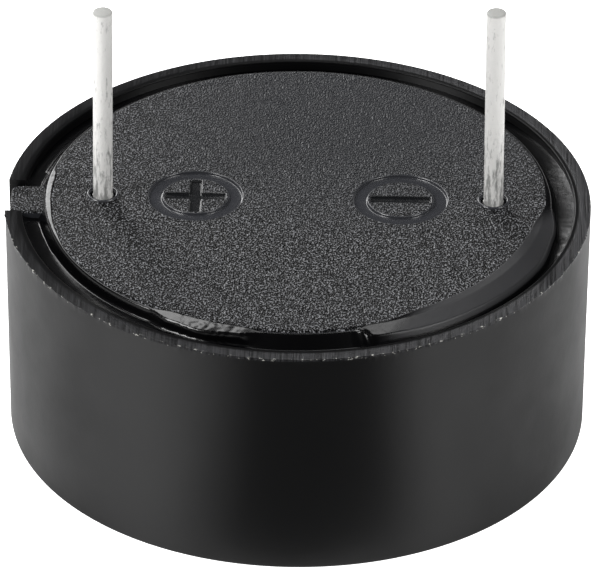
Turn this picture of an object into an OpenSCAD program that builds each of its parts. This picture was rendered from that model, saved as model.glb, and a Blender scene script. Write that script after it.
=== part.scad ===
// Round piezo buzzer with its own drive circuit and two wire pins.
// It stands on its sound face at z = 0, with the pins up and on the X axis.
// The positive pin and the key tab are on the -X side. All sizes are in millimetres.

/* [Case] */
// Outside diameter of the case at its open end
case_d = 30; // [29:0.1:36]
// Height from the sound face to the ground rim
case_h = 12.6; // [12.2:0.1:18]
// Wall thickness at the rim
rim_w = 0.85; // [0.6:0.05:1.2]
// Mould draft of the outer wall, in degrees
draft_deg = 0.55; // [0:0.05:1.5]
// Edge radius round the sound face
foot_r = 0.2; // [0.1:0.05:0.5]
// How far the burr of the ground rim stands out past the wall
burr_w = 0.08; // [0.02:0.01:0.15]
// Height of that burr
burr_h = 0.14; // [0.05:0.01:0.3]
// Thickness of the sound face
face_t = 1.2; // [0.8:0.1:1.6]
// Diameter of the sound hole in the middle of the face
sound_hole_d = 4; // [1.5:0.1:8]
// Depth of the front chamber, from the face to the diaphragm
chamber_h = 1.8; // [1:0.1:2.2]
// Width of the ledge under the diaphragm's edge
ledge_w = 1.25; // [0.8:0.05:1.6]
// Width of the seat under the base plate's flange
seat_w = 0.4; // [0.3:0.05:0.8]
// Depth of that seat below the rim
seat_drop = 2.5; // [2.1:0.1:2.9]

/* [Key notch] */
// Width of the notch through the rim
notch_w = 3; // [2.8:0.1:4]
// Depth of the notch below the rim
notch_depth = 2.2; // [1.9:0.05:2.35]
// Turn of the notch off the pin line, within the play of the tab, in degrees
notch_turn = -0.6; // [-0.7:0.1:0.7]
// Play of the base plate's tab on each side in the notch
tab_side_play = 0.22; // [0.2:0.01:0.4]
// How far the tab's end stays inside the outer wall
tab_inset = 0.28; // [0.1:0.02:0.5]
// Corner radius of the tab's end
tab_r = 0.45; // [0.2:0.05:0.8]
// Depth of the tab's top below the rim
tab_drop = 0.1; // [0.05:0.05:0.5]
// Play between the tab's underside and the floor of the notch
tab_play = 0.08; // [0.04:0.02:0.2]

/* [Base plate] */
// Width of the trough between the raised plateau and the case wall
trough_w = 1.2; // [0.8:0.05:1.6]
// Width of the plateau's rounded shoulder
shoulder_r = 0.35; // [0.2:0.05:0.6]
// Height of the plateau above the rim
plateau_rise = 0.25; // [0.1:0.05:0.6]
// Thickness of the plate at the plateau
plate_t = 1.5; // [1:0.1:1.8]
// Thickness of the flange on its seat
flange_t = 1.2; // [0.8:0.1:1.5]
// Play of the flange inside the case wall
flange_gap = 0.1; // [0.05:0.05:0.2]
// Wall between the plateau's side and the recess under it
skirt_w = 1.35; // [1:0.05:1.5]
// Diameter of the posts that hold the circuit board
post_d = 1.8; // [1.2:0.1:2]
// Distance of the posts from the pin line
post_y = 3.2; // [2.8:0.1:3.4]

/* [Polarity marks] */
// Distance between the middles of the two marks
mark_pitch = 10.5; // [8:0.1:12]
// Outside diameter of the sunk ring
mark_d = 4.8; // [4:0.1:5.4]
// Width of the sunk ring
mark_band = 0.68; // [0.4:0.02:0.8]
// Wall left between the ends of the bars and the sunk ring
bar_inset = 0.18; // [0.1:0.02:0.5]
// Width of the bars
bar_w = 0.57; // [0.3:0.01:0.7]
// Depth of the marks
mark_depth = 0.15; // [0.05:0.01:0.3]

/* [Pins] */
// Distance between the pins
pin_pitch = 20; // [18:0.1:21]
// Diameter of the pin wire
pin_d = 1; // [0.6:0.05:1.2]
// Length of the positive pin above the plateau
pin_len = 10.8; // [3:0.1:20]
// How much longer the negative pin is cut than the positive one
negative_extra = 0.35; // [0:0.05:1]
// Length of the pins past the underside of the board
pin_tail = 0.6; // [0.3:0.1:1]
// Bevel of the sheared pin ends
pin_bevel = 0.08; // [0.04:0.01:0.2]
// Play round each pin in its hole through the base plate
pin_play = 0.15; // [0.05:0.01:0.3]
// How far the flutes rolled on each pin's shank stand out of the wire
flute_h = 0.03; // [0.02:0.005:0.04]

/* [Seal] */
// Depth of the resin below the rim, where it climbs the walls
seal_drop = 0.28; // [0.2:0.02:0.5]
// Sag of the resin between the walls
seal_sag = 0.22; // [0.1:0.02:0.4]

/* [Sounder] */
// Play between the diaphragm and the case wall
disc_gap = 0.25; // [0.1:0.05:0.4]
// Thickness of the brass diaphragm
disc_t = 0.3; // [0.1:0.02:0.4]
// Diameter of the ceramic disc
ceramic_d = 20; // [16:0.5:20.5]
// Thickness of the ceramic disc
ceramic_t = 0.22; // [0.1:0.02:0.3]
// Bare margin of the ceramic round its electrodes
electrode_margin = 0.8; // [0.4:0.1:1.5]
// Thickness of the silver electrodes
electrode_t = 0.03; // [0.02:0.01:0.06]
// Width of the feedback electrode's tongue
tongue_w = 3.2; // [2.4:0.1:4]
// Length of the tongue from the edge of the electrodes inwards
tongue_len = 5.6; // [4.8:0.1:7]
// Bare gap round the tongue
tongue_gap = 0.6; // [0.3:0.05:0.9]
// Width of the silicone bead on the diaphragm's edge
bead_w = 0.6; // [0.3:0.05:0.8]
// Height of the bead at the case wall
bead_h = 0.8; // [0.4:0.05:1.2]

/* [Circuit board] */
// Play between the board's round ends and the case wall
board_play = 0.75; // [0.3:0.05:0.9]
// Width of the board
board_w = 9.6; // [8.6:0.1:10]
// Thickness of the board
board_t = 1; // [0.8:0.1:1.2]
// Depth of the board's upper face below the plate's seat
board_drop = 0.7; // [0.6:0.1:1]
// Play between a lead and its hole in the board
lead_play = 0.1; // [0.05:0.01:0.2]
// Height of the leads above the board's upper face
lead_stub = 0.5; // [0.3:0.05:0.7]

/* [Components] */
// Width of the transistor's body
transistor_w = 4.6; // [4:0.1:4.8]
// Depth of the transistor's body, from its flat to its round back
transistor_t = 3.5; // [3:0.1:3.8]
// Length of the transistor's body
transistor_l = 4.5; // [4:0.1:5]
// Distance between the transistor's legs
leg_pitch = 1.27; // [1.1:0.01:1.5]
// Diameter of component leads
lead_d = 0.45; // [0.35:0.05:0.55]
// Diameter of a resistor's body over its end caps
resistor_d = 1.75; // [1.5:0.05:1.8]
// Length of a resistor's body
resistor_l = 3.4; // [3:0.1:3.6]
// Distance between the two holes of a resistor
resistor_span = 6.4; // [6:0.1:7]
// Diameter of the insulated lead wires
wire_d = 0.6; // [0.4:0.05:0.7]
// Bend radius of leads and wires
bend_r = 0.6; // [0.5:0.05:0.7]

/* [Hidden] */
$fn = 96;
ARC_STEPS = 6;
CUT = 1;
SINK = 0.3;

case_r = case_d / 2;
foot_d = case_d - 2 * case_h * tan(draft_deg);
plate_bore_r = case_r - rim_w;
disc_bore_r = plate_bore_r - seat_w;
chamber_r = disc_bore_r - ledge_w;
ledge_z = face_t + chamber_h;
seat_z = case_h - seat_drop;

flange_r = plate_bore_r - flange_gap;
flange_top = seat_z + flange_t;
plateau_r = plate_bore_r - trough_w;
plateau_top = case_h + plateau_rise;
recess_r = plateau_r - skirt_w;
recess_top = plateau_top - plate_t;
tab_end = case_r - tab_inset;
tab_w = notch_w - 2 * tab_side_play;
notch_z = case_h - notch_depth;
tab_z = notch_z + tab_play;
tab_top = case_h - tab_drop;
island_d = mark_d - 2 * mark_band;
bar_len = island_d - 2 * bar_inset;

disc_r = disc_bore_r - disc_gap;
disc_top = ledge_z + disc_t;
ceramic_top = disc_top + ceramic_t;
electrode_r = ceramic_d / 2 - electrode_margin;
electrode_top = ceramic_top + electrode_t;
bead_r = disc_r - bead_w;
bead_lip = 0.1;

board_top = seat_z - board_drop;
board_z = board_top - board_t;
board_r = disc_bore_r - board_play;
lead_top = board_top + lead_stub;
pin_flutes = 12;

// Places of the parts on the board, from the middle of the buzzer
resistor_x = [-7.3, -5.1, 2.5];
transistor_x = -1.2;
leg_y = -2.6;
leg_run = 1.3;
wire_x = 5;
wire_y = 3.3;
body_gap = 0.05;
leg_drop = 1.1;
drive_hole = [wire_x, wire_y];
feedback_hole = [wire_x, 0];
ground_hole = [wire_x, -wire_y];

// Places of the solder joints on the sounder
joint_r = 0.8;
joint_h = 0.55;
pin_joint_h = 0.65;
lead_joint_w = 0.35;
drive_inset = 1.6;
feedback_inset = 1.3;
drive_angle = 56;
ground_angle = -50;
drive_pad = (electrode_r - drive_inset) * [cos(drive_angle), sin(drive_angle)];
feedback_pad = [electrode_r - feedback_inset, 0];
ground_pad = (ceramic_d / 2 + bead_r) / 2 * [cos(ground_angle), sin(ground_angle)];
wire_rise = 1.5;
wire_run_z = electrode_top + wire_rise;

// Points of an arc from angle a0 to a1 about the point c, with radii rx and ry
function arc(c, rx, ry, a0, a1) = [
    for (i = [0 : ARC_STEPS])
        let (a = a0 + (a1 - a0) * i / ARC_STEPS)
        c + [rx * cos(a), ry * sin(a)]
];

// Corner points of a rectangle of length l and width w about the origin, rounded by r
function rounded(l, w, r) = concat(
    arc([l / 2 - r, w / 2 - r], r, r, 0, 90),
    arc([r - l / 2, w / 2 - r], r, r, 90, 180),
    arc([r - l / 2, r - w / 2], r, r, 180, 270),
    arc([l / 2 - r, r - w / 2], r, r, 270, 360)
);

// ---- Case ----

// Half section of the moulded cup: drafted wall, ground rim with its burr, plate seat,
// diaphragm ledge and front chamber
module case_section() {
    polygon(concat(
        [[0, 0]],
        arc([foot_d / 2 - foot_r, foot_r], foot_r, foot_r, -90, 0),
        [
            [case_r, case_h - burr_h],
            [case_r + burr_w, case_h],
            [plate_bore_r, case_h],
            [plate_bore_r, seat_z],
            [disc_bore_r, seat_z],
            [disc_bore_r, ledge_z],
            [chamber_r, ledge_z],
            [chamber_r, face_t],
            [0, face_t]
        ]
    ));
}

module case() {
    color("#1c1d20")
    difference() {
        rotate_extrude() case_section();
        translate([0, 0, -CUT]) cylinder(d = sound_hole_d, h = face_t + 2 * CUT);
        rotate([0, 0, notch_turn])
            translate([-case_r - CUT, -notch_w / 2, notch_z])
                cube([rim_w + 2 * CUT, notch_w, notch_depth + CUT]);
    }
}

// ---- Base plate ----

// Half section of the plate: flange, raised plateau with its shoulder, recess underneath
module plate_section() {
    polygon(concat(
        [
            [0, recess_top],
            [recess_r, recess_top],
            [recess_r, seat_z],
            [flange_r, seat_z],
            [flange_r, flange_top],
            [plateau_r, flange_top]
        ],
        arc([plateau_r - shoulder_r, plateau_top - shoulder_r], shoulder_r, shoulder_r, 0, 90),
        [[0, plateau_top]]
    ));
}

// Key tab from the plateau's side out through the notch, with a rounded end
module key_tab() {
    tab_l = 2 * tab_end;
    intersection() {
        translate([0, 0, tab_z])
            linear_extrude(tab_top - tab_z)
                polygon(rounded(tab_l, tab_w, tab_r));
        translate([-case_d, -tab_w, 0])
            cube([case_d - plateau_r + shoulder_r, 2 * tab_w, case_h]);
    }
}

// Sunk ring round a sign, as deep as the marks
module mark_ring() {
    difference() {
        cylinder(d = mark_d, h = mark_depth + CUT);
        translate([0, 0, -CUT]) cylinder(d = island_d, h = mark_depth + 3 * CUT);
    }
}

module bar() {
    translate([-bar_len / 2, -bar_w / 2, 0])
        cube([bar_len, bar_w, mark_depth + CUT]);
}

module plus_mark() {
    mark_ring();
    bar();
    rotate([0, 0, 90]) bar();
}

module minus_mark() {
    mark_ring();
    bar();
}

module base_plate() {
    color("#2a2b2e")
    difference() {
        union() {
            rotate_extrude() plate_section();
            key_tab();
            for (x = [-pin_pitch / 2, pin_pitch / 2], y = [-post_y, post_y])
                translate([x, y, board_top])
                    cylinder(d = post_d, h = recess_top - board_top + SINK);
        }
        for (x = [-pin_pitch / 2, pin_pitch / 2])
            translate([x, 0, seat_z - CUT])
                cylinder(d = pin_d + 2 * pin_play, h = plateau_top - seat_z + 2 * CUT);
        translate([-mark_pitch / 2, 0, plateau_top - mark_depth]) plus_mark();
        translate([mark_pitch / 2, 0, plateau_top - mark_depth]) minus_mark();
    }
}

// ---- Seal ----

// Poured resin in the trough between the plateau and the case wall, hollow on top where
// it climbs both, and stopped at the key tab
module seal_ring() {
    seal_top = case_h - seal_drop;
    color("#0b0b0d")
    difference() {
        rotate_extrude()
            polygon(concat(
                [[plateau_r, flange_top], [plate_bore_r, flange_top]],
                arc([plateau_r + trough_w / 2, seal_top], trough_w / 2, seal_sag, 360, 180)
            ));
        translate([-case_d, -tab_w / 2, seat_z])
            cube([case_d, tab_w, case_h]);
    }
}

// ---- Pins ----

// Fluted shank, from below the circuit board up to the plateau
module pin_shank() {
    z0 = board_z - pin_tail;
    translate([0, 0, z0])
        cylinder(r = pin_d / 2 + flute_h, h = plateau_top - z0, $fn = pin_flutes);
}

module wire_pin(length) {
    z0 = plateau_top - SINK;
    z1 = plateau_top + length;
    r = pin_d / 2;
    color("#c9c9c4")
    union() {
        pin_shank();
        rotate_extrude()
            polygon([
                [0, z0], [r, z0], [r, z1 - pin_bevel], [r - pin_bevel, z1], [0, z1]
            ]);
    }
}

module positive_pin() {
    translate([-pin_pitch / 2, 0, 0]) wire_pin(pin_len);
}

module negative_pin() {
    translate([pin_pitch / 2, 0, 0]) wire_pin(pin_len + negative_extra);
}

// ---- Sounder ----

module diaphragm() {
    color("#c39a4a")
    translate([0, 0, ledge_z]) cylinder(r = disc_r, h = disc_t);
}

module ceramic_disc() {
    color("#d8d2c0")
    translate([0, 0, disc_top]) cylinder(d = ceramic_d, h = ceramic_t);
}

// Outline of the feedback tongue, grown by the given margin, running out past the edge
module tongue_outline(margin) {
    w = tongue_w + 2 * margin;
    l = tongue_len + margin;
    translate([electrode_r - l + ceramic_d / 2, 0])
        polygon(rounded(ceramic_d, w, w / 2 - margin / 2));
}

module main_electrode() {
    color("#cfd0d2")
    translate([0, 0, ceramic_top])
        linear_extrude(electrode_t)
            difference() {
                circle(r = electrode_r);
                tongue_outline(tongue_gap);
            }
}

module feedback_electrode() {
    color("#cfd0d2")
    translate([0, 0, ceramic_top])
        linear_extrude(electrode_t)
            intersection() {
                circle(r = electrode_r);
                tongue_outline(0);
            }
}

// Silicone bead that bonds the diaphragm's edge to the ledge and the case wall
module diaphragm_bead() {
    bead_top = disc_top + bead_h;
    color("#e6e4dd")
    rotate_extrude()
        polygon(concat(
            [[disc_bore_r, ledge_z], [disc_bore_r, bead_top]],
            arc([bead_r, bead_top], disc_bore_r - bead_r - bead_lip, bead_h, 0, -90),
            [[disc_r, disc_top], [disc_r, ledge_z]]
        ));
}

// ---- Circuit board and its parts ----

module circuit_board() {
    color("#a8813f")
    translate([0, 0, board_z])
        difference() {
            intersection() {
                cylinder(r = board_r, h = board_t);
                translate([-board_r, -board_w / 2, -CUT])
                    cube([2 * board_r, board_w, board_t + 2 * CUT]);
            }
            translate([0, 0, -CUT]) board_holes(board_t + 2 * CUT);
        }
}

module board_holes(h) {
    for (x = [-pin_pitch / 2, pin_pitch / 2])
        translate([x, 0, 0]) cylinder(d = pin_d + lead_play, h = h);
    for (x = resistor_x, y = [-resistor_span / 2, resistor_span / 2])
        translate([x, y, 0]) cylinder(d = lead_d + 2 * lead_play, h = h);
    for (i = [-1 : 1])
        translate([transistor_x + i * leg_pitch, leg_y, 0])
            cylinder(d = lead_d + 2 * lead_play, h = h);
    for (p = [drive_hole, feedback_hole, ground_hole])
        translate([p[0], p[1], 0]) cylinder(d = wire_d + 2 * lead_play, h = h);
}

// Quarter bend of a round lead in the XZ plane, about the point [x, z], from angle a0
module elbow(x, z, a0, d) {
    translate([x, 0, z])
        rotate([90, 0, 0])
            rotate([0, 0, a0])
                rotate_extrude(angle = 90)
                    translate([bend_r, 0]) circle(d = d, $fn = 32);
}

// Lead that runs along +X from the origin, bends up and ends at the given height
module bent_lead(run, rise) {
    rotate([0, 90, 0]) cylinder(d = lead_d, h = run - bend_r, $fn = 32);
    elbow(run - bend_r, bend_r, -90, lead_d);
    translate([run, 0, bend_r]) cylinder(d = lead_d, h = rise - bend_r, $fn = 32);
}

// Transistor lying with its flat against the board, its three legs bent up through it
module transistor() {
    r = transistor_w / 2;
    axis_z = board_z - transistor_t + r;
    leg_z = board_z - leg_drop;
    body_y = leg_y + leg_run;
    color("#26262a")
    union() {
        intersection() {
            translate([transistor_x, body_y, axis_z])
                rotate([-90, 0, 0]) cylinder(r = r, h = transistor_l);
            translate([transistor_x - r, body_y - CUT, board_z - transistor_t - CUT])
                cube([2 * r, transistor_l + 2 * CUT, transistor_t + CUT]);
        }
        for (i = [-1 : 1])
            translate([transistor_x + i * leg_pitch, body_y + SINK, leg_z])
                rotate([0, 0, -90]) bent_lead(leg_run + SINK, lead_top - leg_z);
    }
}

// Axial resistor along Y under the board, with end caps wider than its waist
module resistor(i) {
    r = resistor_d / 2;
    waist_r = 0.88 * r;
    cap_l = 0.26 * resistor_l;
    neck_l = 0.06 * resistor_l;
    face_r = 0.7 * r;
    half = resistor_l / 2;
    axis_z = board_z - body_gap - r;
    color("#c8b48a")
    translate([resistor_x[i - 1], 0, axis_z])
        union() {
            rotate([90, 0, 0])
                rotate_extrude()
                    polygon([
                        [0, -half], [face_r, -half], [r, neck_l - half], [r, cap_l - half],
                        [waist_r, cap_l + neck_l - half], [waist_r, half - cap_l - neck_l],
                        [r, half - cap_l], [r, half - neck_l], [face_r, half], [0, half]
                    ]);
            for (a = [90, -90])
                rotate([0, 0, a])
                    translate([half - SINK, 0, 0])
                        bent_lead(resistor_span / 2 - half + SINK, lead_top - axis_z);
        }
}

module resistor_1() {
    resistor(1);
}

module resistor_2() {
    resistor(2);
}

module resistor_3() {
    resistor(3);
}

// ---- Lead wires ----

// Wire from a hole in the board down, across and down again onto a pad of the sounder
module lead_wire(hole, pad, pad_z, shade) {
    d = pad - hole;
    l = norm(d);
    color(shade)
    translate([hole[0], hole[1], 0])
        rotate([0, 0, atan2(d[1], d[0])])
            union() {
                translate([0, 0, wire_run_z + bend_r])
                    cylinder(d = wire_d, h = lead_top - wire_run_z - bend_r, $fn = 32);
                elbow(bend_r, wire_run_z + bend_r, 180, wire_d);
                translate([bend_r, 0, wire_run_z])
                    rotate([0, 90, 0]) cylinder(d = wire_d, h = l - 2 * bend_r, $fn = 32);
                elbow(l - bend_r, wire_run_z - bend_r, 0, wire_d);
                translate([l, 0, pad_z])
                    cylinder(d = wire_d, h = wire_run_z - bend_r - pad_z, $fn = 32);
            }
}

module drive_wire() {
    lead_wire(drive_hole, drive_pad, electrode_top, "#b3262b");
}

module feedback_wire() {
    lead_wire(feedback_hole, feedback_pad, electrode_top, "#2a4fa8");
}

module ground_wire() {
    lead_wire(ground_hole, ground_pad, disc_top, "#1d1d1f");
}

// ---- Solder ----

// Hollow-sided cone of solder round a lead of radius hole_r
module solder(hole_r, foot, h) {
    color("#b9bbbd")
    rotate_extrude()
        polygon(concat(
            [[hole_r, 0]],
            arc([foot, h], foot - hole_r, h, 270, 180)
        ));
}

module drive_solder() {
    translate([drive_pad[0], drive_pad[1], electrode_top])
        solder(wire_d / 2, joint_r, joint_h);
}

module feedback_solder() {
    translate([feedback_pad[0], feedback_pad[1], electrode_top])
        solder(wire_d / 2, joint_r, joint_h);
}

module ground_solder() {
    translate([ground_pad[0], ground_pad[1], disc_top])
        solder(wire_d / 2, joint_r, joint_h);
}

module pin_solder(x) {
    color("#b9bbbd")
    translate([x, 0, 0])
        difference() {
            translate([0, 0, board_top])
                solder(pin_d / 2, pin_d / 2 + joint_r, pin_joint_h);
            pin_shank();
        }
}

module positive_pin_solder() {
    pin_solder(-pin_pitch / 2);
}

module negative_pin_solder() {
    pin_solder(pin_pitch / 2);
}

// Joints of all component leads and wires on the upper face of the board
module board_solder() {
    lead_foot = lead_d / 2 + lead_joint_w;
    wire_foot = wire_d / 2 + lead_joint_w;
    h = 0.8 * lead_stub;
    for (x = resistor_x, y = [-resistor_span / 2, resistor_span / 2])
        translate([x, y, board_top]) solder(lead_d / 2, lead_foot, h);
    for (i = [-1 : 1])
        translate([transistor_x + i * leg_pitch, leg_y, board_top])
            solder(lead_d / 2, lead_foot, h);
    for (p = [drive_hole, feedback_hole, ground_hole])
        translate([p[0], p[1], board_top]) solder(wire_d / 2, wire_foot, h);
}

case();
base_plate();
seal_ring();
positive_pin();
negative_pin();
diaphragm();
ceramic_disc();
main_electrode();
feedback_electrode();
diaphragm_bead();
circuit_board();
transistor();
resistor_1();
resistor_2();
resistor_3();
drive_wire();
feedback_wire();
ground_wire();
drive_solder();
feedback_solder();
ground_solder();
positive_pin_solder();
negative_pin_solder();
board_solder();
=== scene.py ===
import math

import bmesh
import bpy
from mathutils import Matrix, Vector, noise


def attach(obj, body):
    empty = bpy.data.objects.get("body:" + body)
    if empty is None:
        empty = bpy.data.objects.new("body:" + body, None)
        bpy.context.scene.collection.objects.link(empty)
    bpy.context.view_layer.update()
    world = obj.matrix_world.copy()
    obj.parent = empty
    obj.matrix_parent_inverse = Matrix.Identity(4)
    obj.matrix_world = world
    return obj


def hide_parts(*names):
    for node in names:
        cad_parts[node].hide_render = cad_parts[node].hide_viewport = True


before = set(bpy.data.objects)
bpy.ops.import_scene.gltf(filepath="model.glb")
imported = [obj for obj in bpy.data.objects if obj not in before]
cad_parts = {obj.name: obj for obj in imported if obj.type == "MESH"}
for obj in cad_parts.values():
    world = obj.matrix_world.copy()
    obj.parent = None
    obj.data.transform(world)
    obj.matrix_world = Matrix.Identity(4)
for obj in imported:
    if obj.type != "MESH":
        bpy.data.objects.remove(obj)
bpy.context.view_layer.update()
print("stage: frame loaded")


tiny = 0.01   # mm, the play in every test that picks faces, edges or vertices by place


def mm(value):
    return value / 1000.0


def startFresh():
    if bpy.context.object and bpy.context.object.mode != "OBJECT":
        bpy.ops.object.mode_set(mode="OBJECT")
    bpy.ops.object.select_all(action="DESELECT")


def nameIt(name):
    piece = bpy.context.object
    piece.name = name
    piece.data.name = name
    return piece


def editOn(piece):
    startFresh()
    piece.select_set(True)
    bpy.context.view_layer.objects.active = piece
    bpy.ops.object.mode_set(mode="EDIT")


def editOff():
    bpy.ops.object.mode_set(mode="OBJECT")


def pick(piece, kind, test):
    # kind is VERT, EDGE or FACE; the test gets the element's middle in mm and, for a face, its normal
    bpy.ops.mesh.select_mode(type=kind)
    bpy.ops.mesh.select_all(action="DESELECT")
    mesh = bmesh.from_edit_mesh(piece.data)
    if kind == "VERT":
        for vert in mesh.verts:
            vert.select_set(bool(test(vert.co * 1000)))
    elif kind == "EDGE":
        for edge in mesh.edges:
            a, b = edge.verts[0].co * 1000, edge.verts[1].co * 1000
            edge.select_set(bool(test(a, b)))
    else:
        for face in mesh.faces:
            face.select_set(bool(test(face.calc_center_median() * 1000, face.normal)))
    mesh.select_flush_mode()
    bmesh.update_edit_mesh(piece.data)


def scaleFlat(factor):
    bpy.ops.transform.resize(value=(factor, factor, 1))


def extrudeZ(height):
    bpy.ops.mesh.extrude_region_move(TRANSFORM_OT_translate={"value": (0, 0, mm(height))})


def insetBy(width):
    bpy.ops.mesh.inset(thickness=mm(width), depth=0, use_even_offset=True)


def tidyMesh(piece):
    editOn(piece)
    bpy.ops.mesh.select_all(action="SELECT")
    bpy.ops.mesh.remove_doubles(threshold=mm(0.0005))
    bpy.ops.mesh.normals_make_consistent(inside=False)
    editOff()


def applyAll(piece):
    startFresh()
    piece.select_set(True)
    bpy.context.view_layer.objects.active = piece
    for modifier in list(piece.modifiers):
        bpy.ops.object.modifier_apply(modifier=modifier.name)


def cutOrJoin(piece, tool, operation):
    boolean = piece.modifiers.new("boolean", "BOOLEAN")
    boolean.object = tool
    boolean.operation = operation
    boolean.solver = "EXACT"
    applyAll(piece)
    bpy.data.objects.remove(tool, do_unlink=True)


def weigh(piece, name, weightAt):
    # vertex group whose weights come from the place in mm
    group = piece.vertex_groups.new(name=name)
    for vert in piece.data.vertices:
        weight = weightAt(vert.co * 1000)
        if weight > 0:
            group.add([vert.index], min(1.0, weight), "REPLACE")
    return group


def push(piece, group, direction, strength):
    # moves along a direction by the group's weight
    displace = piece.modifiers.new("push", "DISPLACE")
    displace.direction = direction
    displace.vertex_group = group
    displace.strength = mm(strength)
    displace.mid_level = 0
    applyAll(piece)


def soften(piece, width, segments, angleDeg):
    bevel = piece.modifiers.new("bevel", "BEVEL")
    bevel.width = mm(width)
    bevel.segments = segments
    bevel.limit_method = "ANGLE"
    bevel.angle_limit = math.radians(angleDeg)
    bevel.use_clamp_overlap = True
    bevel.harden_normals = False
    applyAll(piece)


def shadeSmooth(piece, angleDeg):
    startFresh()
    piece.select_set(True)
    bpy.context.view_layer.objects.active = piece
    bpy.ops.object.shade_smooth_by_angle(angle=math.radians(angleDeg))
    weighted = piece.modifiers.new("weighted", "WEIGHTED_NORMAL")
    weighted.keep_sharp = True
    applyAll(piece)


def azimuthOf(place):
    return math.degrees(math.atan2(place.y, place.x)) % 360


def radiusOf(place):
    return math.hypot(place.x, place.y)


def hump(value, middle, width):
    # 1 at the middle, falling smoothly to 0 at the width on each side
    t = abs(value - middle) / width
    return 0.0 if t >= 1 else (1 - t * t) ** 2


# lengths in mm
view = {
    "azimuthDeg": 1.24, "elevationDeg": 32.107, "rollDeg": 0.376,
    "distance": 391.4, "aimHeight": 7.41, "aimRight": 0.13,
    "lens": 455.3, "sensor": 36,
}


def makeCamera(v):
    a, e, roll = (math.radians(v[key]) for key in ("azimuthDeg", "elevationDeg", "rollDeg"))
    back = Vector((math.sin(a) * math.cos(e), -math.cos(a) * math.cos(e), math.sin(e)))
    right = Vector((math.cos(a), math.sin(a), 0))
    aim = Vector((0, 0, mm(v["aimHeight"])))
    place = aim + back * mm(v["distance"])
    back = (place - aim - right * mm(v["aimRight"])).normalized()
    up = back.cross(right).normalized()
    right = up.cross(back)
    rolledRight = right * math.cos(roll) + up * math.sin(roll)
    rolledUp = up * math.cos(roll) - right * math.sin(roll)
    data = bpy.data.cameras.new("studioCamera")
    data.lens = v["lens"]
    data.sensor_width = v["sensor"]
    data.clip_start = 0.01
    data.clip_end = 20
    camera = bpy.data.objects.new("studioCamera", data)
    turned = Matrix((rolledRight, rolledUp, back)).transposed().to_4x4()
    camera.matrix_world = Matrix.Translation(place) @ turned
    bpy.context.scene.collection.objects.link(camera)
    bpy.context.scene.camera = camera


makeCamera(view)
print("stage: camera")


case = {
    "segments": 1440,
    "rimRadius": 15.0, "height": 12.6, "draftDeg": 0.55, "footRounding": 0.2,
    "rimSteps": [0.04, 0.11, 0.7],   # ring widths across the rim, outside in
    "innerRounding": 0.09,
    "seatDepth": 2.5, "seatWidth": 0.4, "boreDepth": 7.1,
    "ledgeWidth": 1.25, "chamberDepth": 1.8, "holeRadius": 2.0,
    "burrWidth": 0.08, "burrFromDeg": 180, "burrToDeg": 350,
    "burrLoops": [0.45, 0.14, 0.06],   # depths below the rim
    "notchWidth": 3.0, "notchDepth": 2.2, "notchTurnDeg": -0.6,
    "notchLength": 2.0, "notchInset": 0.35,   # the cutting block, and its middle's distance inside the rim
}


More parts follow.
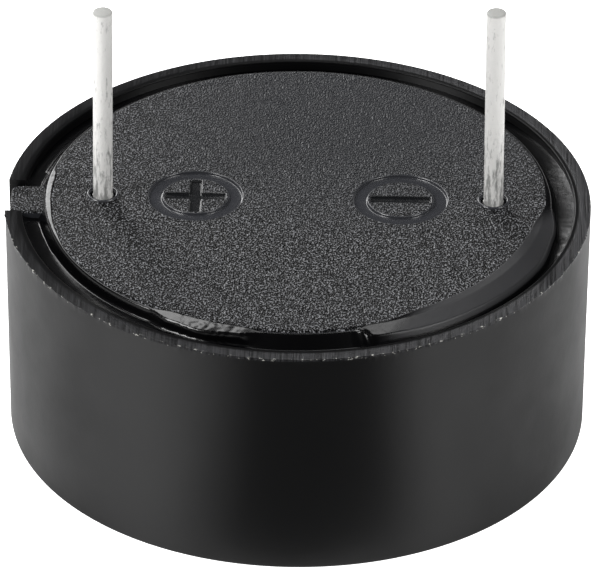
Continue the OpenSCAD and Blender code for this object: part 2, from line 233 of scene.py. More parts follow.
def makeCase(c):
    footRadius = c["rimRadius"] - c["height"] * math.tan(math.radians(c["draftDeg"]))
    startFresh()
    bpy.ops.mesh.primitive_cylinder_add(
        vertices=c["segments"], radius=mm(footRadius), depth=mm(c["height"]),
        location=(0, 0, mm(c["height"] / 2)), end_fill_type="NGON")
    piece = nameIt("caseShell")
    bpy.ops.object.transform_apply(location=True, rotation=True, scale=True)
    editOn(piece)
    pick(piece, "FACE", lambda p, n: n.z > 0.9)
    scaleFlat(c["rimRadius"] / footRadius)
    for width in c["rimSteps"]:
        insetBy(width)
    extrudeZ(-c["seatDepth"])
    insetBy(c["seatWidth"])
    extrudeZ(-c["boreDepth"])
    insetBy(c["ledgeWidth"])
    extrudeZ(-c["chamberDepth"])
    chamberRadius = c["rimRadius"] - sum(c["rimSteps"]) - c["seatWidth"] - c["ledgeWidth"]
    insetBy(chamberRadius - c["holeRadius"])
    bpy.ops.mesh.delete(type="FACE")
    pick(piece, "FACE", lambda p, n: n.z < -0.9 and p.z < tiny)
    insetBy(footRadius - c["holeRadius"])
    bpy.ops.mesh.delete(type="FACE")
    pick(piece, "EDGE", lambda a, b: max(radiusOf(a), radiusOf(b)) < c["holeRadius"] + 0.1
         and abs(a.z - b.z) < tiny)
    bpy.ops.mesh.bridge_edge_loops()
    pick(piece, "EDGE", lambda a, b: max(a.z, b.z) < tiny and radiusOf(a) > footRadius - 0.05)
    bpy.ops.mesh.bevel(offset=mm(c["footRounding"]), segments=5, affect="EDGES")
    innerRadius = c["rimRadius"] - sum(c["rimSteps"])
    pick(piece, "EDGE", lambda a, b: min(a.z, b.z) > c["height"] - tiny
         and max(abs(radiusOf(a) - innerRadius), abs(radiusOf(b) - innerRadius)) < 0.02)
    bpy.ops.mesh.bevel(offset=mm(c["innerRounding"]), segments=4, affect="EDGES")
    # loops under the rim carry the burr
    for depth in c["burrLoops"]:
        pick(piece, "FACE", lambda p, n: abs(n.z) < 0.3 and radiusOf(p) > footRadius - 0.3)
        bpy.ops.mesh.bisect(plane_co=(0, 0, mm(c["height"] - depth)), plane_no=(0, 0, 1))
    editOff()

    def burrAt(place):
        around = azimuthOf(place)
        if radiusOf(place) < c["rimRadius"] - 0.03 or place.z < c["height"] - 0.08:
            return 0
        if around < c["burrFromDeg"] or around > c["burrToDeg"]:
            return 0
        coarse = noise.noise(Vector((around / 5, 3.1, 0)))
        fine = noise.noise(Vector((around / 0.9, 8.4, 0)))
        amount = 0.15 + 0.9 * coarse + 0.7 * fine
        return max(0.0, amount) * (1 if place.z > c["height"] - tiny else 0.5)

    weigh(piece, "burr", burrAt)
    burr = piece.vertex_groups["burr"].index
    for vert in piece.data.vertices:
        for link in vert.groups:
            if link.group == burr:
                flat = Vector((vert.co.x, vert.co.y, 0)).normalized()
                vert.co += flat * mm(c["burrWidth"]) * link.weight
    # key notch through the wall
    startFresh()
    bpy.ops.mesh.primitive_cube_add(size=1)
    notch = nameIt("notchTool")
    notch.scale = (mm(c["notchLength"]), mm(c["notchWidth"]), mm(c["notchDepth"] + 1))
    angle = math.radians(180 + c["notchTurnDeg"])
    notch.rotation_euler = (0, 0, angle)
    middle = c["rimRadius"] - c["notchInset"]
    notch.location = (mm(middle * math.cos(angle)), mm(middle * math.sin(angle)),
                      mm(c["height"] - c["notchDepth"] + (c["notchDepth"] + 1) / 2))
    bpy.ops.object.transform_apply(location=True, rotation=True, scale=True)
    cutOrJoin(piece, notch, "DIFFERENCE")
    tidyMesh(piece)
    shadeSmooth(piece, 32)
    return piece


caseShell = makeCase(case)
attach(caseShell, "root")
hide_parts("case")
print("stage: case", len(caseShell.data.polygons))


plate = {
    "segments": 720,
    "flangeRadius": 14.05, "flangeBottom": 10.1, "flangeTop": 11.3,
    "plateauRadius": 12.95, "plateauTop": 12.85, "shoulder": 0.35,
    "recessRadius": 11.6, "recessTop": 11.35,
    "postDiameter": 1.8, "postX": 10.0, "postY": 3.2, "postBottom": 9.4,
    "tabWidth": 2.56, "tabEnd": 14.72, "tabBottom": 10.48, "tabTop": 12.5,
    "tabCorner": 0.45, "tabEdge": 0.1,
    "pinX": 10.0, "pinHole": 0.65, "pinHoleDepth": 3.0, "pinHoleMiddle": 12.0,
    "lipRadius": 0.75, "lipHeight": 0.08,
    "markX": 5.25, "ringRadius": 2.4, "islandRadius": 1.72,
    "barLength": 3.08, "barWidth": 0.57, "markDepth": 0.15,
    "edgeRounding": 0.12,
    "overlap": 0.3,   # how far a tool reaches past the face that it cuts or joins
    "tabSink": 0.6,   # and how far the tab reaches into the plateau
    "grainedShoulder": (12.3, 12.8), "grainedAbove": 12.7,   # the grain ends on the rounded shoulder
    "knitY": 0.72, "knitHalfWidth": 0.06, "knitEndX": -7.6,
}


def makeRingTool(p, x):
    top = p["plateauTop"] + p["overlap"]
    bottom = p["plateauTop"] - p["markDepth"]
    startFresh()
    bpy.ops.mesh.primitive_cylinder_add(
        vertices=144, radius=mm(p["ringRadius"]), depth=mm(top - bottom),
        location=(mm(x), 0, mm((top + bottom) / 2)), end_fill_type="NGON")
    tool = nameIt("ringTool")
    bpy.ops.object.transform_apply(location=True, rotation=True, scale=True)
    editOn(tool)
    pick(tool, "FACE", lambda q, n: abs(n.z) > 0.9)
    bpy.ops.mesh.inset(thickness=mm(p["ringRadius"] - p["islandRadius"]), use_individual=True)
    bpy.ops.mesh.delete(type="FACE")
    pick(tool, "EDGE", lambda a, b: abs(a.z - b.z) < tiny and max(
        math.hypot(a.x - x, a.y), math.hypot(b.x - x, b.y)) < p["islandRadius"] + 0.05)
    bpy.ops.mesh.bridge_edge_loops()
    editOff()
    tidyMesh(tool)
    return tool


def makeBarTool(p, x, crossed):
    top = p["plateauTop"] + p["overlap"]
    bottom = p["plateauTop"] - p["markDepth"]
    half = p["barWidth"] / 2
    startFresh()
    bpy.ops.mesh.primitive_cube_add(size=1)
    tool = nameIt("barTool")
    tool.scale = (mm(p["barWidth"]), mm(p["barWidth"]), mm(top - bottom))
    tool.location = (mm(x), 0, mm((top + bottom) / 2))
    bpy.ops.object.transform_apply(location=True, rotation=True, scale=True)
    editOn(tool)
    reach = p["barLength"] / 2 - half
    ways = [(1, 0), (-1, 0), (0, 1), (0, -1)] if crossed else [(1, 0), (-1, 0)]
    for way in ways:
        pick(tool, "FACE", lambda q, n: n.x * way[0] + n.y * way[1] > 0.9
             and abs((q.x - x) * way[1] + q.y * way[0]) < tiny)
        bpy.ops.mesh.extrude_region_move(TRANSFORM_OT_translate={
            "value": (mm(way[0] * reach), mm(way[1] * reach), 0)})
    editOff()
    return tool


def makePlate(p):
    startFresh()
    bpy.ops.mesh.primitive_cylinder_add(
        vertices=p["segments"], radius=mm(p["flangeRadius"]),
        depth=mm(p["flangeTop"] - p["flangeBottom"]),
        location=(0, 0, mm((p["flangeTop"] + p["flangeBottom"]) / 2)), end_fill_type="NGON")
    piece = nameIt("basePlate")
    bpy.ops.object.transform_apply(location=True, rotation=True, scale=True)
    editOn(piece)
    pick(piece, "FACE", lambda q, n: n.z > 0.9)
    insetBy(p["flangeRadius"] - p["plateauRadius"])
    extrudeZ(p["plateauTop"] - p["flangeTop"])
    pick(piece, "FACE", lambda q, n: n.z < -0.9)
    insetBy(p["flangeRadius"] - p["recessRadius"])
    extrudeZ(p["recessTop"] - p["flangeBottom"])
    pick(piece, "EDGE", lambda a, b: min(a.z, b.z) > p["plateauTop"] - tiny)
    bpy.ops.mesh.bevel(offset=mm(p["shoulder"]), segments=7, affect="EDGES")
    editOff()
    for x, crossed in ((-p["markX"], True), (p["markX"], False)):
        cutOrJoin(piece, makeRingTool(p, x), "DIFFERENCE")
        cutOrJoin(piece, makeBarTool(p, x, crossed), "DIFFERENCE")
    tidyMesh(piece)
    soften(piece, p["edgeRounding"], 4, 50)
    # key tab
    startFresh()
    start = p["plateauRadius"] - p["tabSink"]
    bpy.ops.mesh.primitive_cube_add(size=1)
    tab = nameIt("tabTool")
    tab.scale = (mm(p["tabEnd"] - start), mm(p["tabWidth"]), mm(p["tabTop"] - p["tabBottom"]))
    tab.location = (mm(-(p["tabEnd"] + start) / 2), 0, mm((p["tabTop"] + p["tabBottom"]) / 2))
    bpy.ops.object.transform_apply(location=True, rotation=True, scale=True)
    editOn(tab)
    pick(tab, "EDGE", lambda a, b: a.x < -p["tabEnd"] + tiny and abs(a.z - b.z) > 0.5)
    bpy.ops.mesh.bevel(offset=mm(p["tabCorner"]), segments=8, affect="EDGES")
    pick(tab, "EDGE", lambda a, b: min(a.z, b.z) > p["tabTop"] - tiny)
    bpy.ops.mesh.bevel(offset=mm(p["tabEdge"]), segments=3, affect="EDGES")
    editOff()
    cutOrJoin(piece, tab, "UNION")
    postTop = p["recessTop"] + p["overlap"]
    for x in (-p["postX"], p["postX"]):
        for y in (-p["postY"], p["postY"]):
            startFresh()
            bpy.ops.mesh.primitive_cylinder_add(
                vertices=32, radius=mm(p["postDiameter"] / 2), depth=mm(postTop - p["postBottom"]),
                location=(mm(x), mm(y), mm((postTop + p["postBottom"]) / 2)))
            cutOrJoin(piece, nameIt("postTool"), "UNION")
    for x in (-p["pinX"], p["pinX"]):
        startFresh()
        bpy.ops.mesh.primitive_torus_add(
            major_segments=64, minor_segments=12, location=(mm(x), 0, mm(p["plateauTop"])),
            major_radius=mm(p["lipRadius"]), minor_radius=mm(p["lipHeight"]))
        cutOrJoin(piece, nameIt("lipTool"), "UNION")
        startFresh()
        bpy.ops.mesh.primitive_cylinder_add(
            vertices=48, radius=mm(p["pinHole"]), depth=mm(p["pinHoleDepth"]),
            location=(mm(x), 0, mm(p["pinHoleMiddle"])))
        cutOrJoin(piece, nameIt("holeTool"), "DIFFERENCE")
    tidyMesh(piece)
    shadeSmooth(piece, 32)
    return piece


basePlate = makePlate(plate)
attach(basePlate, "root")
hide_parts("base_plate")
print("stage: base plate", len(basePlate.data.polygons))


resin = {
    "segments": 1440, "steps": 40,
    "innerRadius": 12.15, "outerRadius": 14.15, "bottom": 11.4, "flat": 12.0,
    # azimuth in degrees; radius where the film starts on the shoulder; radius where its slope ends; how
    # steep that slope is; radius of the trough's bottom; rise at the wall and its power; lumps
    "flow": [
        (0, 12.70, 12.95, 0.27, 13.22, 0.21, 1.25, 0.003),
        (14, 12.80, 12.93, 0.27, 13.22, 0.20, 1.25, 0.004),
        (26, 12.84, 12.93, 0.27, 13.30, 0.10, 1.6, 0.004),
        (40, 12.84, 12.93, 0.27, 13.40, 0.01, 2.0, 0.001),
        (166, 12.84, 12.93, 0.27, 13.35, 0.01, 2.0, 0.001),
        (173, 12.60, 12.93, 0.27, 13.40, 0.08, 3.5, 0.014),
        (184, 12.64, 12.93, 0.27, 13.30, 0.17, 3.5, 0.014),
        (196, 12.74, 12.93, 0.27, 13.20, 0.16, 3.5, 0.012),
        (206, 12.84, 12.93, 0.27, 13.12, 0.04, 3.5, 0.002),
        (236, 12.84, 12.93, 0.27, 13.12, 0.01, 2.0, 0.002),
        (242, 12.66, 13.20, 0.25, 13.36, 0.03, 2.0, 0.010),
        (250, 12.64, 13.34, 0.30, 13.50, 0.06, 1.5, 0.020),
        (258, 12.66, 13.16, 0.29, 13.32, 0.04, 2.0, 0.014),
        (264, 12.84, 12.93, 0.27, 13.40, 0.02, 2.0, 0.002),
        (283, 12.84, 12.93, 0.27, 13.40, 0.01, 2.0, 0.002),
        (289, 12.60, 13.40, 0.28, 13.70, 0.01, 2.0, 0.006),
        (303, 12.22, 13.50, 0.28, 13.80, 0.01, 2.0, 0.004),
        (335, 12.16, 13.50, 0.28, 13.80, 0.05, 2.0, 0.004),
        (348, 12.24, 13.30, 0.28, 13.50, 0.20, 1.2, 0.005),
        (360, 12.70, 12.95, 0.27, 13.22, 0.21, 1.25, 0.003),
    ],
    "ridgeFrom": 120, "ridgeTo": 166, "ridgeRadius": 13.42,   # a thin raised line at the back left
    "puckerDeg": 285.6, "puckerRadius": 13.25, "puckerHeight": 0.1,
    "troughBottom": 12.12, "film": 0.014,
    "tuckDepth": 0.05, "tuckWidth": 0.1,   # inside its start the resin dips under the plate's skin
}


def between(table, value):
    # the table's row at this value, eased from one row to the next
    for low, high in zip(table, table[1:]):
        if low[0] <= value <= high[0]:
            t = (value - low[0]) / (high[0] - low[0])
            t = t * t * (3 - 2 * t)
            return [x + (y - x) * t for x, y in zip(low[1:], high[1:])]
    return list(table[-1][1:])


def shoulderHeight(radius):
    over = radius - (plate["plateauRadius"] - plate["shoulder"])
    if over <= 0:
        return plate["plateauTop"]
    rise = math.sqrt(max(0.0, plate["shoulder"] ** 2 - over ** 2))
    return plate["plateauTop"] - plate["shoulder"] + rise


def resinHeight(r, place):
    radius, around = radiusOf(place), azimuthOf(place)
    start, end, slope, trough, rise, power, lumps = between(r["flow"], around)
    low = r["troughBottom"]
    # the film follows the shoulder's rounding to where it is as steep as the slope
    bend = max(start, plate["plateauRadius"] - plate["shoulder"] * (1 - math.sin(math.atan(slope))))
    top = shoulderHeight(bend) + r["film"]
    foot = top - slope * max(0.0, end - bend)
    if radius < start:
        tuck = r["tuckDepth"] * min(1.0, (start - radius) / r["tuckWidth"])
        height = shoulderHeight(start) + r["film"] - tuck
    elif radius < bend:
        height = shoulderHeight(radius) + r["film"]
    elif radius < end:
        height = top - slope * (radius - bend)
    elif radius < trough:
        u = (radius - end) / (trough - end)
        height = foot + (low - foot) * u
    else:
        u = (radius - trough) / (r["outerRadius"] - trough)
        height = low + rise * u ** power
    if radius > start - 0.05:
        for scale, share in ((1.5, 1.0), (4.0, 0.6), (7.0, 0.3)):
            height += lumps * share * noise.noise(place * scale)
    gap = around - r["puckerDeg"] - 1.5 * (radius - r["puckerRadius"])
    pucker = hump(gap, 0, 0.9) - 0.6 * hump(gap, 1.2, 0.7)
    height += r["puckerHeight"] * pucker * hump(radius, r["puckerRadius"], 0.45)
    if r["ridgeFrom"] < around < r["ridgeTo"]:
        height += 0.03 * hump(radius, r["ridgeRadius"], 0.12)
    return height


def makeResin(r):
    startFresh()
    bpy.ops.mesh.primitive_circle_add(
        vertices=r["segments"], radius=mm(r["innerRadius"]), location=(0, 0, mm(r["bottom"])))
    piece = nameIt("sealResin")
    bpy.ops.object.transform_apply(location=True, rotation=True, scale=True)
    editOn(piece)
    bpy.ops.mesh.select_mode(type="EDGE")
    bpy.ops.mesh.select_all(action="SELECT")
    extrudeZ(r["flat"] - r["bottom"])
    radius = r["innerRadius"]
    for step in range(1, r["steps"] + 1):
        nextRadius = r["innerRadius"] + (r["outerRadius"] - r["innerRadius"]) * step / r["steps"]
        extrudeZ(0)
        scaleFlat(nextRadius / radius)
        radius = nextRadius
    extrudeZ(r["bottom"] - r["flat"])
    extrudeZ(0)
    scaleFlat(r["innerRadius"] / radius)
    editOff()
    tidyMesh(piece)
    # the flow of the poured resin
    flat = r["flat"]
    weigh(piece, "flow", lambda q: resinHeight(r, q) - flat if q.z > flat - tiny else 0)
    push(piece, "flow", "Z", 1.0)
    shadeSmooth(piece, 75)
    return piece


sealResin = makeResin(resin)
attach(sealResin, "root")
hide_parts("seal_ring")
print("stage: resin", len(sealResin.data.polygons))


pin = {
    "x": 10.0, "radius": 0.5, "segments": 64,
    "tail": 7.8, "plateauTop": 12.85, "tip": 23.65, "negativeExtra": 0.35, "bevel": 0.08,
    "lean": {"positivePin": 0.07, "negativePin": -0.06},
    "flutes": 12, "shankRadius": 0.53,
    "overlap": 0.3,   # of the plain wire and the fluted shank
    "leanTop": 0.5,   # the length at the tip that the lean moves
}


def makePin(p, name, x):
    tip = p["tip"] + (p["negativeExtra"] if x > 0 else 0)
    wireStart = p["plateauTop"] - p["overlap"]
    startFresh()
    bpy.ops.mesh.primitive_cylinder_add(
        vertices=p["segments"], radius=mm(p["radius"]), depth=mm(tip - wireStart),
        location=(mm(x), 0, mm((tip + wireStart) / 2)), end_fill_type="NGON")
    piece = nameIt(name)
    bpy.ops.object.transform_apply(location=True, rotation=True, scale=True)
    editOn(piece)
    pick(piece, "EDGE", lambda a, b: min(a.z, b.z) > tip - tiny)
    bpy.ops.mesh.bevel(offset=mm(p["bevel"]), segments=4, affect="EDGES")
    # each pin leans a little
    pick(piece, "VERT", lambda q: q.z > tip - p["leanTop"])
    bpy.ops.transform.translate(value=(mm(p["lean"][name]), 0, 0))
    editOff()
    startFresh()
    bpy.ops.mesh.primitive_cylinder_add(
        vertices=p["flutes"], radius=mm(p["shankRadius"]), depth=mm(p["plateauTop"] - p["tail"]),
        location=(mm(x), 0, mm((p["plateauTop"] + p["tail"]) / 2)), end_fill_type="NGON")
    cutOrJoin(piece, nameIt("shankTool"), "UNION")
    tidyMesh(piece)
    shadeSmooth(piece, 28)
    return piece


for name, side, node in (("positivePin", -1, "positive_pin"), ("negativePin", 1, "negative_pin")):
    wire = makePin(pin, name, side * pin["x"])
    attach(wire, "root")
    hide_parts(node)
print("stage: pins")


def colour(hexText):
    parts = [int(hexText[i:i + 2], 16) / 255 for i in (1, 3, 5)]
    return tuple(p / 12.92 if p <= 0.04045 else ((p + 0.055) / 1.055) ** 2.4 for p in parts) + (1.0,)


def addNode(tree, kind, settings=None, links=None):
    # settings set the node's own properties where it has them, and its sockets otherwise
    node = tree.nodes.new(kind)
    for key, value in (settings or {}).items():
        if isinstance(key, str) and hasattr(node, key):
            setattr(node, key, value)
        else:
            node.inputs[key].default_value = value
    for key, source in (links or {}).items():
        tree.links.new(source, node.inputs[key])
    return node


def stretched(tree, place, scale):
    return addNode(tree, "ShaderNodeMapping", {"Scale": scale}, {"Vector": place}).outputs[0]


def newMaterial(name):
    material = bpy.data.materials.new(name)
    material.use_nodes = True
    tree = material.node_tree
    tree.nodes.clear()
    output = addNode(tree, "ShaderNodeOutputMaterial")
    shader = addNode(tree, "ShaderNodeBsdfPrincipled")
    tree.links.new(shader.outputs[0], output.inputs["Surface"])
    place = addNode(tree, "ShaderNodeTexCoord")
    inMm = stretched(tree, place.outputs["Object"], (1000, 1000, 1000))
    return material, tree, shader, inMm


def spread(tree, source, low, high, toLow=0.0, toHigh=1.0, smooth=False):
    # rescales low..high to toLow..toHigh and stops there
    return addNode(tree, "ShaderNodeMapRange", {
        "interpolation_type": "SMOOTHSTEP" if smooth else "LINEAR",
        "From Min": low, "From Max": high, "To Min": toLow, "To Max": toHigh}, {"Value": source}).outputs[0]


def combine(tree, operation, *terms):
    # arithmetic on sockets and plain numbers
    numbers = {index: term for index, term in enumerate(terms) if isinstance(term, (int, float))}
    sockets = {index: term for index, term in enumerate(terms) if index not in numbers}
    return addNode(tree, "ShaderNodeMath", {"operation": operation, **numbers}, sockets).outputs[0]


def blendTones(tree, factor, low, high):
    # low and high are hex colours or sockets
    tones = {6: low, 7: high}
    fixed = {key: colour(tone) for key, tone in tones.items() if isinstance(tone, str)}
    linked = {key: tone for key, tone in tones.items() if key not in fixed}
    return addNode(tree, "ShaderNodeMix", {"data_type": "RGBA", **fixed}, {0: factor, **linked}).outputs[2]


def noiseAt(tree, place, scale, detail, roughness=0.5):
    return addNode(tree, "ShaderNodeTexNoise", {"Scale": scale, "Detail": detail, "Roughness": roughness},
                   {"Vector": place}).outputs[0]


def alongWay(tree, place, way):
    return addNode(tree, "ShaderNodeVectorMath", {"operation": "DOT_PRODUCT", 1: way},
                   {0: place}).outputs["Value"]


def distanceTo(tree, place, point):
    return addNode(tree, "ShaderNodeVectorMath", {"operation": "DISTANCE", 1: point},
                   {0: place}).outputs["Value"]


def bumpBy(tree, shader, height, strength, depth):
    bump = addNode(tree, "ShaderNodeBump", {"Strength": strength, "Distance": mm(depth)}, {"Height": height})
    tree.links.new(bump.outputs[0], shader.inputs["Normal"])


def dress(piece, *materials):
    piece.data.materials.clear()
    for material in materials:
        piece.data.materials.append(material)


def makeCaseMoulded():
    # moulded black ABS: satin, with a faint mottle and the mould's fine turning marks around the wall
    material, tree, shader, place = newMaterial("casePlasticMoulded")
    shader.inputs["Base Color"].default_value = colour("#050506")
    shader.inputs["Specular IOR Level"].default_value = 0.42
    shader.inputs["Anisotropic"].default_value = 0.9
    shader.inputs["Anisotropic Rotation"].default_value = 0.25
    around = addNode(tree, "ShaderNodeTangent", {"direction_type": "RADIAL", "axis": "Z"})
    tree.links.new(around.outputs[0], shader.inputs["Tangent"])
    cloudy = noiseAt(tree, place, 0.22, 4.0, 0.6)
    tree.links.new(spread(tree, cloudy, 0.3, 0.7, 0.36, 0.46), shader.inputs["Roughness"])
    mottle = noiseAt(tree, place, 2.2, 5.0, 0.65)
    bumpBy(tree, shader, mottle, 0.25, 0.02)
    return material


def makeCaseGround(c):
    # the same ABS ground flat on a belt: fine lines along Y, paler towards the right and darker towards the
    # left, and a whitened burr on the outer edge
    material, tree, shader, place = newMaterial("casePlasticGround")
    shader.inputs["Roughness"].default_value = 0.32
    shader.inputs["Specular IOR Level"].default_value = 0.14
    flat = addNode(tree, "ShaderNodeVectorMath", {"operation": "MULTIPLY", 1: (1, 1, 0)}, {0: place})
    length = addNode(tree, "ShaderNodeVectorMath", {"operation": "LENGTH"}, {0: flat.outputs[0]})
    radius = length.outputs["Value"]
    # paler and more lined towards the right, darker towards the left, and not on its inner rounding
    paleRightSide = spread(tree, alongWay(tree, place, (0.072, -0.012, 0)), -0.9, 0.9, 0.2, 1.0)
    inward = spread(tree, radius, 14.33, 14.5, smooth=True)
    paleRightMask = combine(tree, "MULTIPLY", paleRightSide, inward)
    lines = noiseAt(tree, stretched(tree, place, (13, 0.25, 1)), 1.0, 4.0, 0.7)
    uneven = spread(tree, lines, 0.42, 0.64, 0.15, 2.4)
    tone = blendTones(tree, combine(tree, "MULTIPLY", paleRightMask, uneven), "#060607", "#363638")
    # white specks where the burr broke
    specks = spread(tree, noiseAt(tree, place, 4.0, 3.0, 0.7), 0.59, 0.68)
    edge = spread(tree, radius, c["rimRadius"] - 0.07, c["rimRadius"] - 0.01)
    whitened = blendTones(tree, combine(tree, "MULTIPLY", specks, edge), tone, "#c9c8c2")
    tree.links.new(whitened, shader.inputs["Base Color"])
    bumpBy(tree, shader, combine(tree, "MULTIPLY", lines, paleRightMask), 0.9, 0.04)
    return material


def makePlateGrained(p):
    # moulded black ABS with a spark-eroded grain of about 0.1 mm, drawn a little finer along X than Y
    material, tree, shader, place = newMaterial("platePlasticGrained")
    shader.inputs["Roughness"].default_value = 0.3
    shader.inputs["Specular IOR Level"].default_value = 0.12
    grain = noiseAt(tree, stretched(tree, place, (12, 8, 8)), 1.0, 0.0)
    bumpBy(tree, shader, grain, 1.0, 0.09)
    # painted glints and painted shade: the grain's peaks are painted paler than its pits, least so at the
    # back
    glintPaintedPeaks = spread(tree, grain, 0.56, 0.70)
    glintFadeFromBack = spread(tree, distanceTo(tree, place, (2, 9, p["plateauTop"])), 4.0, 14.0)
    paintedShadePits = blendTones(tree, glintFadeFromBack, "#232427", "#020203")
    paintedGlintTips = blendTones(tree, glintFadeFromBack, "#3c3d40", "#797a7d")
    tone = blendTones(tree, glintPaintedPeaks, paintedShadePits, paintedGlintTips)
    # a fine knit line in the moulding, from the left edge to the plus sign
    split = addNode(tree, "ShaderNodeSeparateXYZ", None, {0: place})
    near = combine(tree, "COMPARE", split.outputs[1], p["knitY"], p["knitHalfWidth"])
    side = combine(tree, "LESS_THAN", split.outputs[0], p["knitEndX"])
    lined = blendTones(tree, combine(tree, "MULTIPLY", near, side), tone, "#060607")
    tree.links.new(lined, shader.inputs["Base Color"])
    return material


def makePlatePolished(p):
    # the same ABS where the mould was polished: the sunk signs, the flange and the sides of the key tab
    material, tree, shader, place = newMaterial("platePlasticPolished")
    shader.inputs["Specular IOR Level"].default_value = 0.9
    # painted shade: the narrow bars inside each ring are painted darker than the ring's own floor
    folded = addNode(tree, "ShaderNodeVectorMath", {"operation": "ABSOLUTE"}, {0: place})
    markMiddle = (p["markX"], 0, p["plateauTop"] - p["markDepth"])
    inside = spread(tree, distanceTo(tree, folded.outputs[0], markMiddle), 1.55, 1.62)
    tree.links.new(blendTones(tree, inside, "#161719", "#313236"), shader.inputs["Base Color"])
    cloudy = noiseAt(tree, place, 3.0, 4.0)
    tree.links.new(spread(tree, cloudy, 0.0, 1.0, 0.14, 0.28), shader.inputs["Roughness"])
    bumpBy(tree, shader, cloudy, 0.5, 0.02)
    return material


def makeResinPoured():
    # black two-part resin, poured: it cures glossy, with a slow ripple
    material, tree, shader, place = newMaterial("sealResinPoured")
    shader.inputs["Specular IOR Level"].default_value = 0.5
    # at the front right it is a thin film over the plate's shoulder, rougher, and painted greyer there as a
    # painted reflection of the bright surroundings
    paintedSheenFrontRight = spread(tree, alongWay(tree, place, (0.83, -0.56, 0)), 10.7, 11.8, smooth=True)
    split = addNode(tree, "ShaderNodeSeparateXYZ", None, {0: place})
    upper = spread(tree, split.outputs[2], 12.3, 12.45, smooth=True)
    film = combine(tree, "MULTIPLY", paintedSheenFrontRight, upper)
    tree.links.new(blendTones(tree, film, "#020203", "#2a2a2c"), shader.inputs["Base Color"])
    tree.links.new(spread(tree, film, 0.0, 1.0, 0.2, 0.42), shader.inputs["Roughness"])
    bumpBy(tree, shader, noiseAt(tree, place, 1.1, 3.0), 0.4, 0.03)
    return material


def makeTinnedWire():
    # tinned copper-clad wire: soft white metal, mottled, with drawing lines along it and dull grey streaks
    material, tree, shader, place = newMaterial("tinnedWireDrawn")
    shader.inputs["Metallic"].default_value = 0.12
    streaks = noiseAt(tree, stretched(tree, place, (5, 5, 1.2)), 1.0, 4.0, 0.65)
    # more of the dull grey streaks low down, as painted shade for the dark plate that the wire mirrors there
    split = addNode(tree, "ShaderNodeSeparateXYZ", None, {0: place})
    low = spread(tree, split.outputs[2], 13.0, 17.5, 0.2, 0.0)
    dullStreaksAndLowShade = spread(tree, combine(tree, "ADD", streaks, low), 0.58, 0.76)
    tone = blendTones(tree, dullStreaksAndLowShade, "#fffefb", "#a4a4a2")
    # the sheared ends are greyer; the slant meets both tips, as one pin is longer
    sheared = spread(tree, alongWay(tree, place, (-0.0175, 0, 1)), 23.7, 23.8)
    tree.links.new(blendTones(tree, sheared, tone, "#b0b0ad"), shader.inputs["Base Color"])
    tree.links.new(spread(tree, streaks, 0.3, 0.7, 0.34, 0.5), shader.inputs["Roughness"])
    speckle = noiseAt(tree, stretched(tree, place, (6, 6, 3)), 1.0, 3.0, 0.7)
    bumpBy(tree, shader, speckle, 0.8, 0.05)
    return material


dress(caseShell, makeCaseMoulded(), makeCaseGround(case))
for face in caseShell.data.polygons:
    middle = face.center * 1000
    isGround = middle.z > case["height"] - 0.1 and radiusOf(middle) > 14.1
    face.material_index = 1 if isGround else 0

dress(basePlate, makePlateGrained(plate), makePlatePolished(plate))
for face in basePlate.data.polygons:
    middle = face.center * 1000
    fromPin = math.hypot(abs(middle.x) - plate["pinX"], middle.y)
    byPin = fromPin < plate["lipRadius"] + plate["lipHeight"] + tiny
    inner, outer = plate["grainedShoulder"]
    onShoulder = inner < radiusOf(middle) < outer and middle.z > plate["grainedAbove"]
    onTop = middle.z > plate["plateauTop"] - 0.001 or onShoulder
    onTab = middle.x < -plate["plateauRadius"] - tiny and middle.z > plate["tabTop"] - plate["tabEdge"]
    face.material_index = 0 if (onTop and not byPin) or onTab else 1

dress(sealResin, makeResinPoured())
tinnedWire = makeTinnedWire()
for name in ("positivePin", "negativePin"):
    dress(bpy.data.objects[name], tinnedWire)

# pieces inside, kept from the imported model: nodes, material, two tones, how fine the grain is per mm along
# each axis, metallic, the range of roughness, depth of the bump in mm
finishes = [
    # rolled brass sheet: faint rolling lines along X
    (["diaphragm"], "brassRolled", "#b58a3c", "#d8b062", (0.3, 12, 1), 1.0, 0.24, 0.4, 0.01),
    # sintered lead zirconate titanate: matt, cream, finely speckled
    (["ceramic_disc"], "ceramicSintered", "#b3a584", "#d6caa9", (5, 5, 5), 0.0, 0.6, 0.8, 0.01),
    # silver paste, screen printed and fired: satin, with the weave of the screen
    (["main_electrode", "feedback_electrode"],
     "silverFired", "#b9b9b4", "#e2e2de", (8, 8, 1), 1.0, 0.42, 0.6, 0.01),
    # silicone adhesive, laid by needle
    (["diaphragm_bead"], "siliconeBead", "#cfcdc4", "#e4e2da", (1, 1, 1), 0.0, 0.3, 0.5, 0.03),
    # phenolic paper laminate: brown, with paper fibres along X
    (["circuit_board"], "phenolicPaper", "#7d5a2c", "#a67c42", (0.6, 7, 7), 0.0, 0.4, 0.6, 0.01),
    # epoxy of the transistor, moulded in a sandblasted mould
    (["transistor"], "epoxyMoulded", "#151517", "#242427", (9, 9, 9), 0.0, 0.5, 0.7, 0.01),
    # dipped lacquer of the resistors
    (["resistor_1", "resistor_2", "resistor_3"],
     "lacquerDipped", "#b89762", "#cdb07c", (1, 1, 1), 0.0, 0.2, 0.35, 0.02),
    # extruded PVC insulation
    (["drive_wire"], "pvcRed", "#a01018", "#c02028", (1, 1, 1), 0.0, 0.3, 0.45, 0.01),
    (["feedback_wire"], "pvcBlue", "#163a9c", "#2350b8", (1, 1, 1), 0.0, 0.3, 0.45, 0.01),
    (["ground_wire"], "pvcBlack", "#101011", "#1c1c1e", (1, 1, 1), 0.0, 0.3, 0.45, 0.01),
    # tin and lead solder, set bright with frosted patches
    (["drive_solder", "feedback_solder", "ground_solder",
      "positive_pin_solder", "negative_pin_solder", "board_solder"],
     "solderSet", "#c2c3c4", "#e6e7e8", (2.5, 2.5, 2.5), 1.0, 0.15, 0.4, 0.03),
]


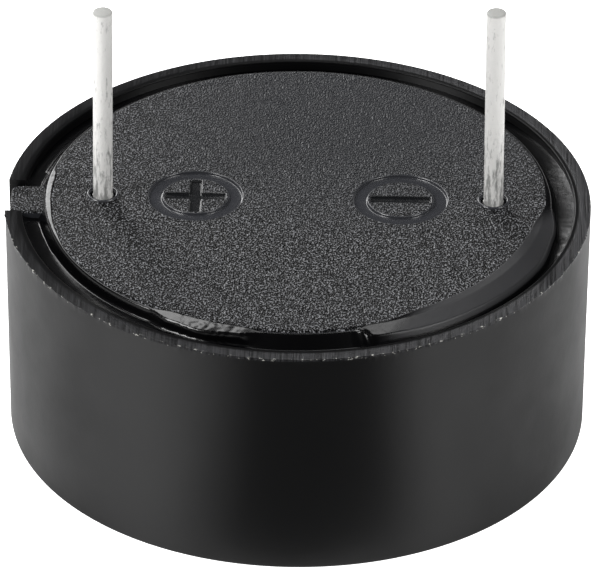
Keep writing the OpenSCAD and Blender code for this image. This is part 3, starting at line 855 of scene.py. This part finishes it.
def makeFinish(name, low, high, scale, metallic, roughMin, roughMax, depth):
    # two tones mixed by a noise, which also drives the roughness and a bump
    material, tree, shader, place = newMaterial(name)
    shader.inputs["Metallic"].default_value = metallic
    grain = noiseAt(tree, stretched(tree, place, scale), 1.0, 4.0)
    even = spread(tree, grain, 0.3, 0.7)
    tree.links.new(blendTones(tree, even, low, high), shader.inputs["Base Color"])
    tree.links.new(spread(tree, even, 0.0, 1.0, roughMin, roughMax), shader.inputs["Roughness"])
    bumpBy(tree, shader, grain, 0.6, depth)
    return material


for nodes, *finish in finishes:
    finishMaterial = makeFinish(*finish)
    for node in nodes:
        for slot in bpy.data.objects[node].material_slots:
            slot.material = finishMaterial
print("stage: materials")


studio = {
    "worldLight": 0.34,
    "skyTop": 0.03, "skyStart": 0.05, "skyEnd": 0.24,   # start and end are sines of the elevation
    "floorColour": "#e9e9e9", "floorGlow": 0.35,
    "backdropGlow": 1.0,   # for the camera alone
    # a wedge of painted shade on the floor in front, a dark card that darkens what the buzzer's wall
    # mirrors, in mm; its edges as the ratio of X to Y
    "shadeCardColour": "#6c6c6c", "shadeCardStart": -15.2, "shadeCardFull": -17,
    "shadeCardShift": 0.12, "shadeCardEdge": 0.72, "shadeCardCore": 0.32,
    "aimHeight": 12,
    "lamps": [
        # name, azimuth and elevation (degrees), distance (m), width, height, brightness against white
        ("leftSoftbox", 208, 38, 0.38, 0.15, 0.15, 12.5),
        ("rightSoftbox", 332, 38, 0.38, 0.15, 0.15, 7.0),
        ("backLeftSoftbox", 116, 36, 0.40, 0.115, 0.46, 5.5),
        ("backRightSoftbox", 77, 60, 0.40, 0.10, 0.10, 3.0),
    ],
}


def seenRays(tree):
    # 1 for camera, glossy and transmission rays, so the background stays white in them
    path = addNode(tree, "ShaderNodeLightPath")
    first = combine(tree, "MAXIMUM", path.outputs["Is Camera Ray"], path.outputs["Is Glossy Ray"])
    both = combine(tree, "MAXIMUM", first, path.outputs["Is Transmission Ray"])
    return path.outputs["Is Camera Ray"], both


def makeFloor(s):
    startFresh()
    bpy.ops.mesh.primitive_plane_add(size=3, location=(0, 0, 0))
    floor = nameIt("studioFloor")
    material = bpy.data.materials.new("paintedFloor")
    material.use_nodes = True
    tree = material.node_tree
    tree.nodes.clear()
    output = addNode(tree, "ShaderNodeOutputMaterial")
    # white paper, with a wedge of grey painted shade in front of the buzzer
    place = addNode(tree, "ShaderNodeTexCoord")
    split = addNode(tree, "ShaderNodeSeparateXYZ", None, {0: place.outputs["Object"]})
    front = spread(tree, split.outputs[1], mm(s["shadeCardStart"]), mm(s["shadeCardFull"]))
    ratio = combine(tree, "DIVIDE", split.outputs[0], split.outputs[1])
    side = combine(tree, "ABSOLUTE", combine(tree, "ADD", ratio, s["shadeCardShift"]))
    shadeCard = combine(tree, "MULTIPLY", front, spread(tree, side, s["shadeCardEdge"], s["shadeCardCore"]))
    tone = blendTones(tree, shadeCard, s["floorColour"], s["shadeCardColour"])
    paint = addNode(tree, "ShaderNodeBsdfDiffuse", None, {"Color": tone})
    camera, seen = seenRays(tree)
    # the glow fades out over the painted shade card, so reflections see it dark
    paper = spread(tree, shadeCard, 0.0, 1.0, s["floorGlow"], 0.0)
    extra = combine(tree, "MULTIPLY_ADD", camera, s["backdropGlow"], paper)
    glow = addNode(tree, "ShaderNodeEmission", {"Color": (1, 1, 1, 1)}, {"Strength": extra})
    lit = addNode(tree, "ShaderNodeAddShader", None, {0: paint.outputs[0], 1: glow.outputs[0]})
    mix = addNode(tree, "ShaderNodeMixShader", None, {0: seen, 1: paint.outputs[0], 2: lit.outputs[0]})
    tree.links.new(mix.outputs[0], output.inputs["Surface"])
    dress(floor, material)


def makeWorld(s):
    world = bpy.data.worlds.new("studioWorld")
    bpy.context.scene.world = world
    world.use_nodes = True
    tree = world.node_tree
    tree.nodes.clear()
    output = addNode(tree, "ShaderNodeOutputWorld")
    # white low down like the backdrop, darker overhead
    way = addNode(tree, "ShaderNodeTexCoord")
    split = addNode(tree, "ShaderNodeSeparateXYZ", None, {0: way.outputs["Generated"]})
    sky = spread(tree, split.outputs[2], s["skyStart"], s["skyEnd"], 1.0, s["skyTop"], smooth=True)
    camera, seen = seenRays(tree)
    low = addNode(tree, "ShaderNodeMix", {"data_type": "FLOAT", 2: s["worldLight"]}, {0: seen, 3: sky})
    strength = addNode(tree, "ShaderNodeMix", {"data_type": "FLOAT", 3: 1.0}, {0: camera, 2: low.outputs[0]})
    glow = addNode(tree, "ShaderNodeBackground", {"Color": (1, 1, 1, 1)}, {"Strength": strength.outputs[0]})
    tree.links.new(glow.outputs[0], output.inputs["Surface"])


def makeLamps(s):
    aim = Vector((0, 0, mm(s["aimHeight"])))
    for name, azimuth, elevation, distance, width, height, brightness in s["lamps"]:
        data = bpy.data.lights.new(name, "AREA")
        data.shape = "RECTANGLE"
        data.size, data.size_y = width, height
        data.energy = brightness * math.pi * width * height
        a, e = math.radians(azimuth), math.radians(elevation)
        way = Vector((math.cos(a) * math.cos(e), math.sin(a) * math.cos(e), math.sin(e)))
        lamp = bpy.data.objects.new(name, data)
        lamp.location = aim + way * distance
        lamp.rotation_euler = way.to_track_quat("Z", "Y").to_euler()
        bpy.context.scene.collection.objects.link(lamp)


bpy.context.scene.view_settings.view_transform = "Standard"
makeFloor(studio)
makeWorld(studio)
makeLamps(studio)
print("stage: studio")
